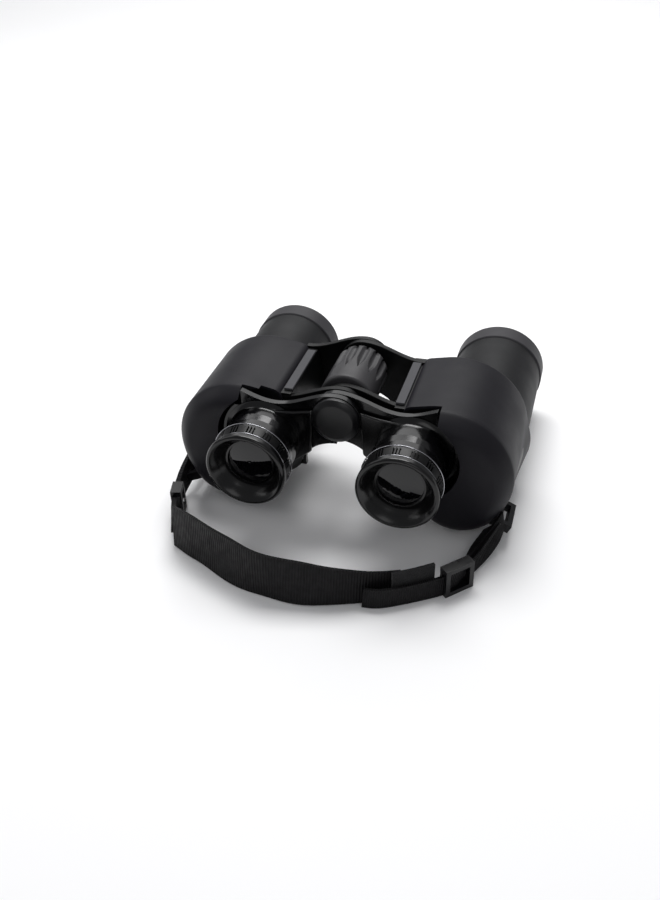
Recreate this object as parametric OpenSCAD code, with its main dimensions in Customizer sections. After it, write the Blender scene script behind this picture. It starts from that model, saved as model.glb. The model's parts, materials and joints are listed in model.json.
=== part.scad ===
// Porro-prism binoculars lying on their belly, with a neck strap.
// The origin is on the folding hinge's axis, at the mouth of the tripod socket.
// +X is to the user's right, +Y points out of the objectives, +Z is up.

/* [Optics layout] */
// Distance between the eyepiece axes, hinge fully open
eye_spacing = 70.2; // [69:0.1:72]
// Height of the hinge axis above the eyepiece axes
eye_drop = 15.4; // [15:0.1:16]
// Distance between the objective axes, hinge fully open
objective_spacing = 118; // [117:0.1:119]
// Height of the hinge axis above the objective axes
objective_drop = 34; // [33:0.1:35]

/* [Prism housing] */
// Radius of the large rounding over the housing's outer top edge
crown_r = 34; // [33:0.1:34.5]
// Radius of the rounding under the housing, round the objective tube
belly_r = 24.5; // [24.2:0.1:25]
// Height of the housing's top above the hinge axis
housing_top = 8.5; // [8:0.1:9]
// Height of the hinge axis above the table
rest_drop = 59.5; // [59:0.1:60]
// Distance from the tripod socket back to the housing's objective end
housing_back = 4; // [3.5:0.1:4]
// Distance from the tripod socket back to the start of the shoulder
shoulder_start = 53.5; // [53:0.1:54]
// Distance from the tripod socket back to the housing's eyepiece end
housing_front = 62; // [61.5:0.1:63]
// How far the shoulder slopes inwards
shoulder_in = 7; // [6:0.5:8]
// How much slimmer the belly gets towards the eyepieces
belly_taper = 2.5; // [2:0.1:3]
// Thickness of the rubber armour
armour_t = 1.3; // [1.1:0.1:1.6]
// Wall thickness of the housing casting
wall_t = 2; // [1.8:0.1:2.2]
// Radius of the round pocket behind each eyepiece
pocket_r = 23; // [22.6:0.1:23.4]

/* [Objective barrel] */
// Distance from the tripod socket to the objective end's face
objective_face = 66; // [64:0.5:68]
// Outer radius of the rubber end ring
ring_r = 24; // [23.6:0.1:24.4]
// Length of the rubber end ring
ring_length = 12; // [10:0.5:14]
// Outer radius of the rubber-covered tube
sleeve_r = 23.3; // [23:0.1:23.4]

/* [Hinge and bridges] */
// Height of the wavy bridge edge above the hinge axis, on average
wave_mid = 7.8; // [7.6:0.1:8]
// Height of the wave from its middle to its crest
wave_rise = 3.8; // [3.5:0.1:4]
// Distance from the wave's crest to its lowest point
wave_half = 29.5; // [29:0.5:30]
// Thickness of each bridge plate
plate_t = 3; // [2.8:0.1:3]
// Outer radius of the hinge tube
tube_r = 4.5; // [4:0.1:5]
// Outer radius of the focus screw
screw_r = 3; // [2.6:0.1:3.2]
// Radius of the disc that caps the eyepiece bridge
cap_r = 11.3; // [11:0.1:11.6]
// Greatest radius of the focus knob
knob_r = 13; // [12.5:0.1:13.2]
// Distance from the hinge axis to the inner side of the grip strips
strip_x = 24.8; // [24.5:0.1:25.2]
// Height of the grip strips above the hinge axis
strip_top = 5; // [4.8:0.1:5.2]

/* [Eyepieces] */
// Radius of the polished neck
neck_r = 17; // [16.5:0.1:17.5]
// Radius of the tube that slides in the housing
slide_r = 13; // [12.6:0.1:13.2]
// Greatest radius of the barred ring
barred_r = 20; // [19.8:0.1:20.4]
// Outer radius of the eyecup rim
cup_r = 18.9; // [18.7:0.1:19.2]
// Clear radius of the eye lens
eye_lens_r = 10.8; // [10.5:0.1:11]

/* [Strap] */
// Width of the ribbed neck band
band_w = 25; // [22:1:28]
// Width of the narrow webbing
webbing_w = 10; // [9:0.5:11]
// Thickness of the webbing
webbing_t = 1.6; // [1.2:0.1:2]

/* [Hidden] */
$fn = 96;

LEFT = -1;
RIGHT = 1;
FIT = 0.1;
eye_x = eye_spacing / 2;
objective_x = objective_spacing / 2;
sleeve_hole = 0.2;

// The four roundings of the housing's section, clockwise: centre and radius.
corner = [[34, strip_top - 3.8], 5];
crown = [[48, housing_top - crown_r], crown_r];
belly = [[objective_x + 1, belly_r - rest_drop], belly_r];
inside = [[30, -26], 9];
slim_belly = [[objective_x - 2, belly[0][1]], belly_r - belly_taper];

// Stations along Y of the plates that carry the hinge.
near_plate_y = -49;
far_plate_y = -2 - plate_t;
knuckle_gap = 0.3;
knuckle_r = wave_mid + wave_rise;
arch_top = -14;
arch_r = 19;
near_plate_drop = 1.6;
far_plate_rise = 1;
socket_r = 3.175;
socket_depth = 9;
arm_y = -52.2;
arm_front_y = arm_y - 2 * plate_t - knuckle_gap;
arm_web_y = -62;
sleeve_front_y = -60.5;
travel_in = 2.5;
pocket_floor_y = -50;
notch_y = -49.8;
ear_x = 46;
prism_y = -27;

// Stations along Y of one eyepiece.
neck_back_y = -66;
neck_front_y = -76.8;
barred_front_y = -82.2;
cup_gap = 1.4;
cup_face_y = -87.4;
eye_lens_y = -79;

// --- Placing -------------------------------------------------------------

// Builds a right-hand piece as drawn, and mirrors it for the left.
module on_side(side) {
    if (side == RIGHT) children();
    else mirror([1, 0, 0]) children();
}

// Extrudes a profile drawn in X and Z between two stations along Y.
module slab(y_low, y_high) {
    translate([0, y_high, 0]) rotate([90, 0, 0])
        linear_extrude(height = y_high - y_low) children();
}

// Turns a profile drawn in radius and Y about an axis parallel to Y.
module turned(axis_x, axis_z) {
    translate([axis_x, 0, axis_z]) rotate([-90, 0, 0]) rotate_extrude() children();
}

// A round bar or bore along Y.
module rod(axis_x, axis_z, radius, y_low, y_high) {
    translate([axis_x, y_low, axis_z]) rotate([-90, 0, 0])
        cylinder(r = radius, h = y_high - y_low);
}

module tube(axis_x, axis_z, outer, inner, y_low, y_high) {
    turned(axis_x, axis_z) translate([inner, y_low]) square([outer - inner, y_high - y_low]);
}

// --- Curves --------------------------------------------------------------

// Height of the wavy bridge edge at a distance from the hinge.
function wave(x) = wave_mid + wave_rise * cos(180 * x / wave_half);

// Points of a circular arc about a centre.
function arc(centre, radius, from, to, steps) =
    [for (i = [0:steps]) let (a = from + (to - from) * i / steps)
        centre + radius * [cos(a), sin(a)]];

// One span of a smooth curve through b and c.
function span_point(a, b, c, d, t) =
    0.5 * (2 * b + (c - a) * t + (2 * a - 5 * b + 4 * c - d) * t * t
        + (3 * b - a - 3 * c + d) * t * t * t);

// A smooth curve through hand-set points.
function smooth(points, steps) =
    [for (i = [0:len(points) - 2]) for (k = [0:steps - 1])
        span_point(points[max(i - 1, 0)], points[i], points[i + 1],
            points[min(i + 2, len(points) - 1)], k / steps),
     points[len(points) - 1]];

// Direction of the point where the outline leaves one rounding for the next.
function leaving(a, b) =
    let (d = b[0] - a[0]) atan2(d[1], d[0]) + acos((a[1] - b[1]) / norm(d));

// An outline drawn clockwise round a ring of circles, inset evenly.
function outline(circles, inset) =
    let (n = len(circles)) [for (i = [0:n - 1])
        let (here = circles[i],
             from = leaving(circles[(i + n - 1) % n], here),
             to = leaving(here, circles[(i + 1) % n]),
             turn = from < to ? to - 360 : to,
             steps = max(3, round((from - turn) / 7)))
            each arc(here[0], max(here[1] - inset, 0.2), from, turn, steps)];

function unit(v) = v / norm(v);

// Direction square to a path at one of its points.
function side_way(path, i) =
    let (d = unit(path[min(i + 1, len(path) - 1)] - path[max(i - 1, 0)])) [-d[1], d[0]];

// The outline of a strip of even thickness along a path.
function ribbon(path, t) = concat(
    [for (i = [0:len(path) - 1]) path[i] + side_way(path, i) * t / 2],
    [for (i = [len(path) - 1:-1:0]) path[i] - side_way(path, i) * t / 2]);

// --- Housing -------------------------------------------------------------

module housing_section(inset) {
    polygon(outline([corner, crown, belly, inside], inset));
}

module slim_section(inset) {
    polygon(outline([corner, crown, slim_belly, inside], inset));
}

// The section part of the way from the housing's back to its shoulder.
module section_at(y, inset) {
    part = (-housing_back - y) / (shoulder_start - housing_back);
    polygon(outline([corner, crown, belly + (slim_belly - belly) * part, inside], inset));
}

// The housing's solid form: it slims towards the eyepieces and ends in a shoulder.
module housing_form(inset, y_front, y_back) {
    slice = 0.8;
    mid_y = -shoulder_start - 5;
    hull() {
        slab(y_back - slice, y_back) housing_section(inset);
        slab(-shoulder_start, -shoulder_start + slice) slim_section(inset);
        slab(mid_y, mid_y + slice) slim_section(inset + shoulder_in * 0.35);
        slab(y_front, y_front + slice) slim_section(inset + shoulder_in);
    }
}

// The round pocket behind the eyepiece, and the notch above it for the bridge's ear.
module front_recess(grow) {
    rod(eye_x, -eye_drop, pocket_r + grow, -housing_front - 1, pocket_floor_y + grow);
    slab(-housing_front - 1, notch_y + grow) translate([eye_x - 16 - grow, -eye_drop])
        square([ear_x + 1 - eye_x + 16 + 2 * grow, 40]);
}

module prism_housing(side) {
    cavity = armour_t + wall_t;
    color("#2a2a2c") on_side(side) difference() {
        housing_form(armour_t, -housing_front + armour_t, -housing_back - armour_t);
        difference() {
            housing_form(cavity, -housing_front + cavity, -housing_back - cavity);
            front_recess(wall_t);
        }
        front_recess(0);
        rod(eye_x, -eye_drop, 9, pocket_floor_y - 1, pocket_floor_y + wall_t + 1);
        rod(objective_x, -objective_drop, sleeve_r - 1.2, -housing_back - cavity - 1, 0);
    }
}

module armour(side) {
    color("#2d2c31") on_side(side) difference() {
        housing_form(0, -housing_front, -housing_back);
        housing_form(armour_t, -housing_front + armour_t, -housing_back - armour_t);
        front_recess(0);
        rod(objective_x, -objective_drop, sleeve_r + sleeve_hole, -housing_back - armour_t - 1, 0);
    }
}

// --- Hinge ---------------------------------------------------------------

// The profile of a hinge plate: a wavy top, an arched bottom and a round knuckle.
module plate_profile(reach, lower) {
    steps = 24;
    difference() {
        union() {
            polygon(concat(
                [for (i = [0:steps]) let (x = reach * i / steps) [x, wave(x) - lower]],
                [[reach, -36], [0, -36]]));
            circle(r = knuckle_r - lower);
        }
        translate([0, arch_top - arch_r]) circle(r = arch_r);
    }
}

// The right side's plates lie inside the left side's, between them and the knob.
function plate_shift(side) = side == LEFT ? 0 : plate_t + knuckle_gap;

module hinge_frame(side) {
    shift = plate_shift(side);
    bore = side == LEFT ? tube_r : tube_r + FIT / 2;
    reach = strip_x + 10;
    rail_top = strip_top - 1.2;
    color("#161617") on_side(side) difference() {
        union() {
            slab(near_plate_y + shift, near_plate_y + shift + plate_t)
                plate_profile(reach, near_plate_drop);
            slab(far_plate_y - shift, far_plate_y - shift + plate_t)
                plate_profile(reach, -far_plate_rise);
            slab(near_plate_y, far_plate_y + plate_t)
                polygon([[strip_x, rail_top], [reach, rail_top], [reach, -22],
                    [strip_x - 3, -22], [strip_x - 3, -10]]);
        }
        slab(near_plate_y - 1, 0) housing_section(0);
        rod(0, 0, bore, near_plate_y - 1, 1);
    }
}

// A flat strip along the rail's top that stops short of the far plate.
module grip_strip(side) {
    back_y = far_plate_y - plate_shift(side) - FIT;
    width = corner[0][0] - corner[1] - strip_x;
    color("#77777a") on_side(side)
        translate([strip_x, near_plate_y + plate_t, strip_top - 1.2])
            cube([width, back_y - near_plate_y - plate_t, 1.2]);
}

module hinge_tube() {
    color("#4a4a4e") difference() {
        rod(0, 0, tube_r, near_plate_y - 0.5, -2);
        rod(0, 0, screw_r + FIT, near_plate_y - 1, -12);
        rod(0, 0, socket_r, -socket_depth, 0);
    }
}

// A flanged collar round the socket, in the end of the hinge.
module tripod_bush() {
    color("#b0b0b3") difference() {
        rod(0, 0, tube_r + 3, -2, 0);
        rod(0, 0, socket_r, -3, 1);
    }
}

module focus_screw() {
    color("#9a9a9e") rod(0, 0, screw_r, arm_front_y, -18);
}

module thrust_washers() {
    gap_near = near_plate_y + 2 * plate_t + knuckle_gap;
    gap_far = far_plate_y - plate_t - knuckle_gap;
    color("#c9a85a") {
        tube(0, 0, 7, tube_r, gap_near + 0.05, gap_near + 0.45);
        tube(0, 0, 7, tube_r, gap_far - 0.45, gap_far - 0.05);
    }
}

// A knob with long grooves: rounded at its near end and domed at its far end.
module focus_knob() {
    near_y = near_plate_y + 2 * plate_t + knuckle_gap + 0.5;
    far_y = far_plate_y - plate_t - knuckle_gap - 0.5;
    edge = 3;
    dome = 4.5;
    grooves = 12;
    color("#5c5c60") difference() {
        turned(0, 0) polygon(concat(
            [[tube_r + FIT, near_y]],
            arc([knob_r - edge, near_y + edge], edge, -90, 0, 5),
            arc([knob_r - dome, far_y - dome], dome, 0, 90, 5),
            [[tube_r + FIT, far_y]]));
        for (i = [0:grooves - 1]) rotate([0, 360 * (i + 0.5) / grooves, 0])
            rod(0, knob_r + 0.3, 1.5, near_y + 2 * edge, far_y - 2 * dome);
    }
}

module bridge_cap() {
    rim = 2.4;
    height = 3.6;
    color("#1d1d1f") turned(0, 0) polygon(concat(
        [[0, arm_front_y], [cap_r, arm_front_y]],
        arc([cap_r - rim, arm_front_y - height + rim], rim, 0, -90, 6),
        [[0, arm_front_y - height]]));
}

// --- Objective end -------------------------------------------------------

module objective_tube(side) {
    color("#19191a") on_side(side) tube(objective_x, -objective_drop,
        sleeve_r - 1.2, sleeve_r - 2.8, -housing_back - armour_t - wall_t, objective_face - 2);
}

module tube_sleeve(side) {
    color("#232326") on_side(side) tube(objective_x, -objective_drop,
        sleeve_r, sleeve_r - 1.2, -housing_back, objective_face - ring_length);
}

module objective_ring(side) {
    back_y = objective_face - ring_length;
    color("#5a585c") on_side(side) turned(objective_x, -objective_drop) polygon([
        [sleeve_r - 1.2, back_y], [ring_r - 0.3, back_y], [ring_r, back_y + 0.6],
        [ring_r, objective_face - 1.2], [ring_r - 0.8, objective_face],
        [sleeve_r - 2.6, objective_face], [sleeve_r - 2.8, objective_face - 2],
        [sleeve_r - 1.2, objective_face - 2]]);
}

// A lens of two shallow domes: bulge at the centre on each side of its rim.
module lens(radius, y_low, y_high, bulge_low, bulge_high) {
    steps = 8;
    polygon(concat(
        [for (i = [0:steps]) let (t = i / steps) [radius * t, y_low - bulge_low * (1 - t * t)]],
        [for (i = [steps:-1:0]) let (t = i / steps) [radius * t, y_high + bulge_high * (1 - t * t)]]));
}

module objective_lens(side) {
    lens_y = objective_face - 13;
    color("#39404d") on_side(side) turned(objective_x, -objective_drop)
        lens(sleeve_r - 2.8, lens_y - 4, lens_y, 0.8, 2);
}

module objective_cell(side) {
    lens_y = objective_face - 13;
    color("#101011") on_side(side) tube(objective_x, -objective_drop,
        sleeve_r - 2.8, sleeve_r - 4.6, lens_y + 0.8, lens_y + 3.2);
}

// --- Prisms --------------------------------------------------------------

prism_half = 16.5;
prism_w = 15.5;
fold_angle = atan2(objective_drop - eye_drop, eye_x - objective_x);
fold_step = norm([eye_x - objective_x, objective_drop - eye_drop]) / sqrt(2);
rear_angle = fold_angle - 45;
front_angle = fold_angle + 45;

// A right-angle prism: its long face is square to Y at a station, across a direction.
module porro(centre, angle, y_face, way) {
    translate([centre[0], y_face, centre[1]]) rotate([0, -angle, 0])
        translate([0, 0, -prism_w / 2]) linear_extrude(height = prism_w)
            polygon([[-prism_half, 0], [prism_half, 0], [0, way * prism_half]]);
}

start = [objective_x, -objective_drop];
middle = start + fold_step * [cos(rear_angle), sin(rear_angle)];
rear_centre = (start + middle) / 2;
front_centre = (middle + [eye_x, -eye_drop]) / 2;

module rear_prism(side) {
    color("#bcd0d4") on_side(side) porro(rear_centre, rear_angle, prism_y - 1, -1);
}

module front_prism(side) {
    color("#bcd0d4") on_side(side) porro(front_centre, front_angle, prism_y + 1, 1);
}

module prism_shelf(side) {
    color("#8c8c90") on_side(side) difference() {
        slab(prism_y - 0.8, prism_y + 0.8) section_at(prism_y - 2, armour_t + wall_t);
        for (c = [start, middle, [eye_x, -eye_drop]])
            rod(c[0], c[1], 7, prism_y - 2, prism_y + 2);
    }
}

// A sprung strip over each prism's ridge, on two legs that stand on the shelf.
module clip(centre, angle, way) {
    reach = prism_w / 2 + 0.6;
    height = prism_half + 1.2;
    translate([centre[0], prism_y + way, centre[1]]) rotate([0, -angle, 0])
        translate([-2, 0, 0]) difference() {
            translate([0, way > 0 ? 0 : -height - 0.6, -reach - 0.6])
                cube([4, height + 0.6, 2 * reach + 1.2]);
            translate([-1, way > 0 ? -1 : -height, -reach])
                cube([6, height + 1, 2 * reach]);
        }
}

module prism_clips(side) {
    color("#a9a9ad") on_side(side) {
        clip(rear_centre, rear_angle, -0.8);
        clip(front_centre, front_angle, 0.8);
    }
}

// --- Eyepieces -----------------------------------------------------------

module guide_sleeve(side) {
    color("#7d7d80") on_side(side) tube(eye_x, -eye_drop,
        slide_r + 2.2, slide_r + FIT / 2, sleeve_front_y, pocket_floor_y);
}

// The eyepiece bridge's arm: a wavy plate, a thicker web and a bell round the eyepiece.
module bridge_arm(side) {
    y_low = side == LEFT ? arm_front_y : arm_y - plate_t;
    bell_r = pocket_r - 1.5;
    bell_y = arm_front_y - 0.5;
    steps = 8;
    color("#0e0e0f") on_side(side) difference() {
        union() {
            slab(y_low, y_low + plate_t) intersection() {
                plate_profile(ear_x, 0);
                union() {
                    circle(r = knuckle_r);
                    translate([eye_x, -eye_drop]) circle(r = bell_r);
                    translate([0, -28]) square([eye_x, 50]);
                    translate([eye_x - 1, -eye_drop + 16]) square([ear_x - eye_x + 1, 24]);
                }
            }
            slab(arm_web_y, y_low + plate_t) difference() {
                polygon([[10, 4], [20, 2], [30, 1], [34, -2], [34, -32], [22, -27], [12, -19]]);
                circle(r = knuckle_r + 0.6);
            }
            turned(eye_x, -eye_drop) polygon(concat(
                [[slide_r, y_low + plate_t], [neck_r + 1, y_low + plate_t], [neck_r + 2, bell_y + 1]],
                [for (i = [0:steps]) let (t = i / steps)
                    [neck_r + 0.5 + 1.6 * pow(1 - t, 2), bell_y + (neck_back_y - bell_y) * t]],
                [[slide_r, neck_back_y]]));
        }
        rod(eye_x, -eye_drop, slide_r + 2.8, sleeve_front_y - travel_in, arm_y + 1);
        rod(eye_x, -eye_drop, slide_r, neck_back_y - 1, arm_y + 1);
        rod(0, 0, side == LEFT ? screw_r : screw_r + FIT / 2, -90, arm_y + 1);
    }
}

module ocular_tube(side) {
    color("#0c0c0d") on_side(side) turned(eye_x, -eye_drop) polygon([
        [11.4, pocket_floor_y - travel_in], [slide_r, pocket_floor_y - travel_in], [slide_r, neck_back_y],
        [neck_r + 0.4, neck_back_y], [neck_r, neck_back_y - 4], [neck_r, neck_front_y],
        [15.2, neck_front_y], [15.2, eye_lens_y + 5.4], [11.4, eye_lens_y + 7]]);
}

module field_lens(side) {
    color("#a9bcc0") on_side(side) turned(eye_x, -eye_drop) lens(11.4, -60, -57, 1.6, 1);
}

module eye_lens(side) {
    color("#2c3038") on_side(side) turned(eye_x, -eye_drop)
        lens(eye_lens_r + 0.6, eye_lens_y - 0.4, eye_lens_y + 3, 1.2, 1);
}

module lens_ring(side) {
    color("#c4c4c8") on_side(side) tube(eye_x, -eye_drop,
        eye_lens_r + 0.9, eye_lens_r, eye_lens_y - 1.3, eye_lens_y - 0.6);
}

// Eyecup: a skirt inside the barred ring, a rounded rim and a funnel down to the lens.
module eyecup(side) {
    rim_r = 2.4;
    back_y = barred_front_y - cup_gap;
    color("#0d0d0e") on_side(side) turned(eye_x, -eye_drop) polygon(concat(
        [[eye_lens_r + 0.6, eye_lens_y + 3.2], [15.1, eye_lens_y + 3.2], [15.1, back_y],
         [cup_r - 0.5, back_y]],
        arc([cup_r - rim_r, cup_face_y + rim_r], rim_r, 0, -100, 8),
        [[15.6, cup_face_y + 0.4], [12.3, eye_lens_y - 2], [eye_lens_r + 0.9, eye_lens_y - 1.3],
         [eye_lens_r + 0.9, eye_lens_y - 0.6], [eye_lens_r + 0.6, eye_lens_y - 0.6]]));
}

// A ring with pairs of raised bars, turning on the neck's front end.
module barred_ring(side) {
    groups = 14;
    bar_w = 1.1;
    bar_root = 15.8;
    color("#111112") on_side(side) {
        turned(eye_x, -eye_drop) polygon([
            [15.3, neck_front_y - FIT], [barred_r - 1, neck_front_y - FIT],
            [barred_r - 1.7, barred_front_y], [15.3, barred_front_y]]);
        translate([eye_x, 0, -eye_drop])
            for (i = [0:groups - 1]) for (k = [-1, 1]) rotate([0, 360 * i / groups + k * 3.4, 0])
                translate([-bar_w / 2, barred_front_y + 1, bar_root])
                    cube([bar_w, 3.4, barred_r - bar_root - 0.6]);
    }
}

module trim_rings(side) {
    color("#d8d8da") on_side(side) {
        tube(eye_x, -eye_drop, barred_r + 0.1, neck_r, neck_front_y + FIT, neck_front_y + 0.9);
        tube(eye_x, -eye_drop, barred_r - 1.3, 15.3, barred_front_y - 0.8, barred_front_y - FIT);
    }
}

// --- Strap ---------------------------------------------------------------

table_z = -rest_drop;
lug_at = [objective_x + 15, -48, -47];
lug_tilt = 25;
strap_low = table_z + 2.3;

// The block that a strap lug is cut from, grown evenly.
module lug_block(grow) {
    translate(lug_at) rotate([0, lug_tilt, 0])
        translate([-4 - grow, -8.5 - grow, -2.2 - grow])
            cube([13 + 2 * grow, 17 + 2 * grow, 4.4 + 2 * grow]);
}

// A moulded loop on the lower outer corner of the housing, with a slot for webbing.
module strap_lug(side) {
    color("#151516") on_side(side) difference() {
        lug_block(0);
        translate(lug_at) rotate([0, lug_tilt, 0]) translate([3.6, -6, -3]) cube([3, 12, 6]);
        housing_form(0, -housing_front, -housing_back);
    }
}

// Webbing that stands on edge along a path on the table.
module standing(path, t, z_low, z_high) {
    translate([0, 0, z_low]) linear_extrude(height = z_high - z_low) polygon(ribbon(path, t));
}

tail_path = [[-83, -46], [-82.5, -56], [-81, -64], [-79, -72], [-76, -84], [-73, -95]];
band_path = [[-71, -98], [-62, -101.5], [-54, -105], [-40, -112.5], [-26, -117.5], [-12, -119.5],
             [2, -119], [14, -116], [27, -111], [38, -104.5]];
right_path = [[24, -116.5], [34, -112.5], [47, -105.5], [61, -95.5], [67, -87], [71, -76],
              [74.5, -66], [77, -56.5]];
patch_path = [[40, -106], [48, -100.5], [55, -95]];
buckle_at = [64, -92];

module left_strap_tail() {
    color("#141415") difference() {
        standing(smooth(tail_path, 5), 2 * webbing_t, strap_low, strap_low + webbing_w);
        on_side(LEFT) lug_block(FIT);
    }
}

// A small frame that the webbing runs through twice.
module slide_frame(length, depth, height, border) {
    difference() {
        translate([-length / 2, -depth / 2, 0]) cube([length, depth, height]);
        translate([border - length / 2, -depth, border])
            cube([length - 2 * border, 2 * depth, height - 2 * border]);
    }
}

module left_strap_slide() {
    color("#0f0f10") difference() {
        translate([-79.5, -71.5, table_z]) rotate([0, 0, -75]) slide_frame(9, 5.4, 15, 2);
        standing(smooth(tail_path, 5), 2 * webbing_t + FIT, strap_low - FIT, strap_low + webbing_w + FIT);
    }
}

module strap_band() {
    color("#161617") intersection() {
        standing(smooth(band_path, 5), webbing_t, table_z, table_z + band_w);
        slab(-130, -90) polygon([[-80, table_z], [-80, table_z + band_w - 3],
            [-62, table_z + band_w], [-10, table_z + band_w - 3],
            [20, table_z + band_w - 8], [45, table_z + band_w - 11], [45, table_z]]);
    }
}

module right_strap_webbing() {
    color("#151516") difference() {
        standing(smooth(right_path, 5), webbing_t, strap_low, strap_low + webbing_w);
        lug_block(FIT);
    }
}

module right_strap_buckle() {
    color("#0d0d0e") difference() {
        translate([buckle_at[0], buckle_at[1], table_z]) rotate([0, 0, 46]) slide_frame(15, 5, 15, 2.3);
        standing(smooth(right_path, 5), webbing_t + FIT, strap_low - FIT, strap_low + webbing_w + FIT);
    }
}

module strap_patch() {
    color("#1a1a1b") standing(smooth(patch_path, 5), webbing_t, table_z + 9, table_z + 17);
}

prism_housing(LEFT);  // left_prism_housing
prism_housing(RIGHT);  // right_prism_housing
armour(LEFT);  // left_armour
armour(RIGHT);  // right_armour
hinge_frame(LEFT);  // left_hinge_frame
hinge_frame(RIGHT);  // right_hinge_frame
grip_strip(LEFT);  // left_grip_strip
grip_strip(RIGHT);  // right_grip_strip
objective_tube(LEFT);  // left_objective_tube
objective_tube(RIGHT);  // right_objective_tube
tube_sleeve(LEFT);  // left_tube_sleeve
tube_sleeve(RIGHT);  // right_tube_sleeve
objective_ring(LEFT);  // left_objective_ring
objective_ring(RIGHT);  // right_objective_ring
objective_lens(LEFT);  // left_objective_lens
objective_lens(RIGHT);  // right_objective_lens
objective_cell(LEFT);  // left_objective_cell
objective_cell(RIGHT);  // right_objective_cell
front_prism(LEFT);  // left_front_prism
front_prism(RIGHT);  // right_front_prism
rear_prism(LEFT);  // left_rear_prism
rear_prism(RIGHT);  // right_rear_prism
prism_shelf(LEFT);  // left_prism_shelf
prism_shelf(RIGHT);  // right_prism_shelf
prism_clips(LEFT);  // left_prism_clips
prism_clips(RIGHT);  // right_prism_clips
guide_sleeve(LEFT);  // left_guide_sleeve
guide_sleeve(RIGHT);  // right_guide_sleeve
strap_lug(LEFT);  // left_strap_lug
strap_lug(RIGHT);  // right_strap_lug
bridge_arm(LEFT);  // left_bridge_arm
bridge_arm(RIGHT);  // right_bridge_arm
ocular_tube(LEFT);  // left_ocular_tube
ocular_tube(RIGHT);  // right_ocular_tube
field_lens(LEFT);  // left_field_lens
field_lens(RIGHT);  // right_field_lens
eye_lens(LEFT);  // left_eye_lens
eye_lens(RIGHT);  // right_eye_lens
lens_ring(LEFT);  // left_lens_ring
lens_ring(RIGHT);  // right_lens_ring
eyecup(LEFT);  // left_eyecup
eyecup(RIGHT);  // right_eyecup
barred_ring(LEFT);  // left_barred_ring
barred_ring(RIGHT);  // right_dioptre_ring
trim_rings(LEFT);  // left_trim_rings
trim_rings(RIGHT);  // right_trim_rings
hinge_tube();
tripod_bush();
focus_knob();
focus_screw();
bridge_cap();
thrust_washers();
left_strap_tail();
left_strap_slide();
strap_band();
right_strap_webbing();
right_strap_buckle();
strap_patch();
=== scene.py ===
"""Folding prism binoculars with a neck strap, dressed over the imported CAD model."""
import json
import math

import bmesh
import bpy
from mathutils import Matrix, Vector


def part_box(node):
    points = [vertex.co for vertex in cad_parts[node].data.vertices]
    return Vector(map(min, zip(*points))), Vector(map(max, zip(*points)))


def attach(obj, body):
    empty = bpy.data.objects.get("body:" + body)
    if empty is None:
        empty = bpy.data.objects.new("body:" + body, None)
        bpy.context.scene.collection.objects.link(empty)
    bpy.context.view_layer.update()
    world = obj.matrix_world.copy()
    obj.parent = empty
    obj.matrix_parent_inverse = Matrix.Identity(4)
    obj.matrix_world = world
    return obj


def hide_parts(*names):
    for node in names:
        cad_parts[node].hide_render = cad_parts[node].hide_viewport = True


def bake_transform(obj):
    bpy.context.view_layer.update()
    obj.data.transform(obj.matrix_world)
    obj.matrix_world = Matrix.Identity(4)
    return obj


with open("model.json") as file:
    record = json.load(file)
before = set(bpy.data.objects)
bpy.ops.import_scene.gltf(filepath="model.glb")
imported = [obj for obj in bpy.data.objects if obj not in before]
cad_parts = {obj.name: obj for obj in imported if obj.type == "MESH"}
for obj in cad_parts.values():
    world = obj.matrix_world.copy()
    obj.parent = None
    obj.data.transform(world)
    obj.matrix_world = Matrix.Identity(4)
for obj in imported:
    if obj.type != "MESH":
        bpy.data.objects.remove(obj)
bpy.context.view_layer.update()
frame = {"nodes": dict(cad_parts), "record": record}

MM = 0.001
LEFT, RIGHT = -1, 1
SIDES = {"left": LEFT, "right": RIGHT}


# --- Driving dimensions, in millimetres, read from the frame ---------------

def span(node):
    """The lowest and highest corner of a CAD node, in millimetres."""
    low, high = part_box(node)
    return [v / MM for v in low], [v / MM for v in high]


def middle(node, axis):
    """The centre of a CAD node along one axis, in millimetres."""
    low, high = span(node)
    return (low[axis] + high[axis]) / 2


ARMOUR_LOW, ARMOUR_HIGH = span("right_armour")
RING_LOW, RING_HIGH = span("right_objective_ring")
BAND_LOW, BAND_HIGH = span("right_dioptre_ring")
CUP_LOW, CUP_HIGH = span("right_eyecup")
FRAME_LOW, FRAME_HIGH = span("right_hinge_frame")
LEFT_ARM_LOW, LEFT_ARM_HIGH = span("left_bridge_arm")
RIGHT_ARM_LOW, RIGHT_ARM_HIGH = span("right_bridge_arm")
KNOB_LOW, KNOB_HIGH = span("focus_knob")
CAP_LOW, CAP_HIGH = span("bridge_cap")
STRIP_LOW, STRIP_HIGH = span("right_grip_strip")

EYE_X = middle("right_dioptre_ring", 0)
EYE_Z = middle("right_dioptre_ring", 2)
OBJECTIVE_X = middle("right_objective_ring", 0)
OBJECTIVE_Z = middle("right_objective_ring", 2)
TABLE_Z = ARMOUR_LOW[2]
HOUSING_BACK = ARMOUR_HIGH[1]
HOUSING_FRONT = ARMOUR_LOW[1]
HOUSING_TOP = ARMOUR_HIGH[2]
SHOULDER_Y = HOUSING_FRONT + 8.5
CORNER = ((34, STRIP_HIGH[2] - 3.8), 5)
CROWN = ((48, HOUSING_TOP - 34), 34)
INSIDE = ((30, -26), 9)
BELLY_X, BELLY_Z = OBJECTIVE_X + 1, OBJECTIVE_Z - 1
BELLY_R = BELLY_Z - TABLE_Z
POCKET_Y = -50
POCKET_R = 23
OBJECTIVE_HOLE_R = 23.5
NOTCH_Y = {LEFT: -53.1, RIGHT: -49.8}
RUBBER = 1.3
KNUCKLE_R = RIGHT_ARM_HIGH[2]
WAVE_RISE = 3.8
WAVE_HALF = 29.5
WAVE_MID = KNUCKLE_R - WAVE_RISE
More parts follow.
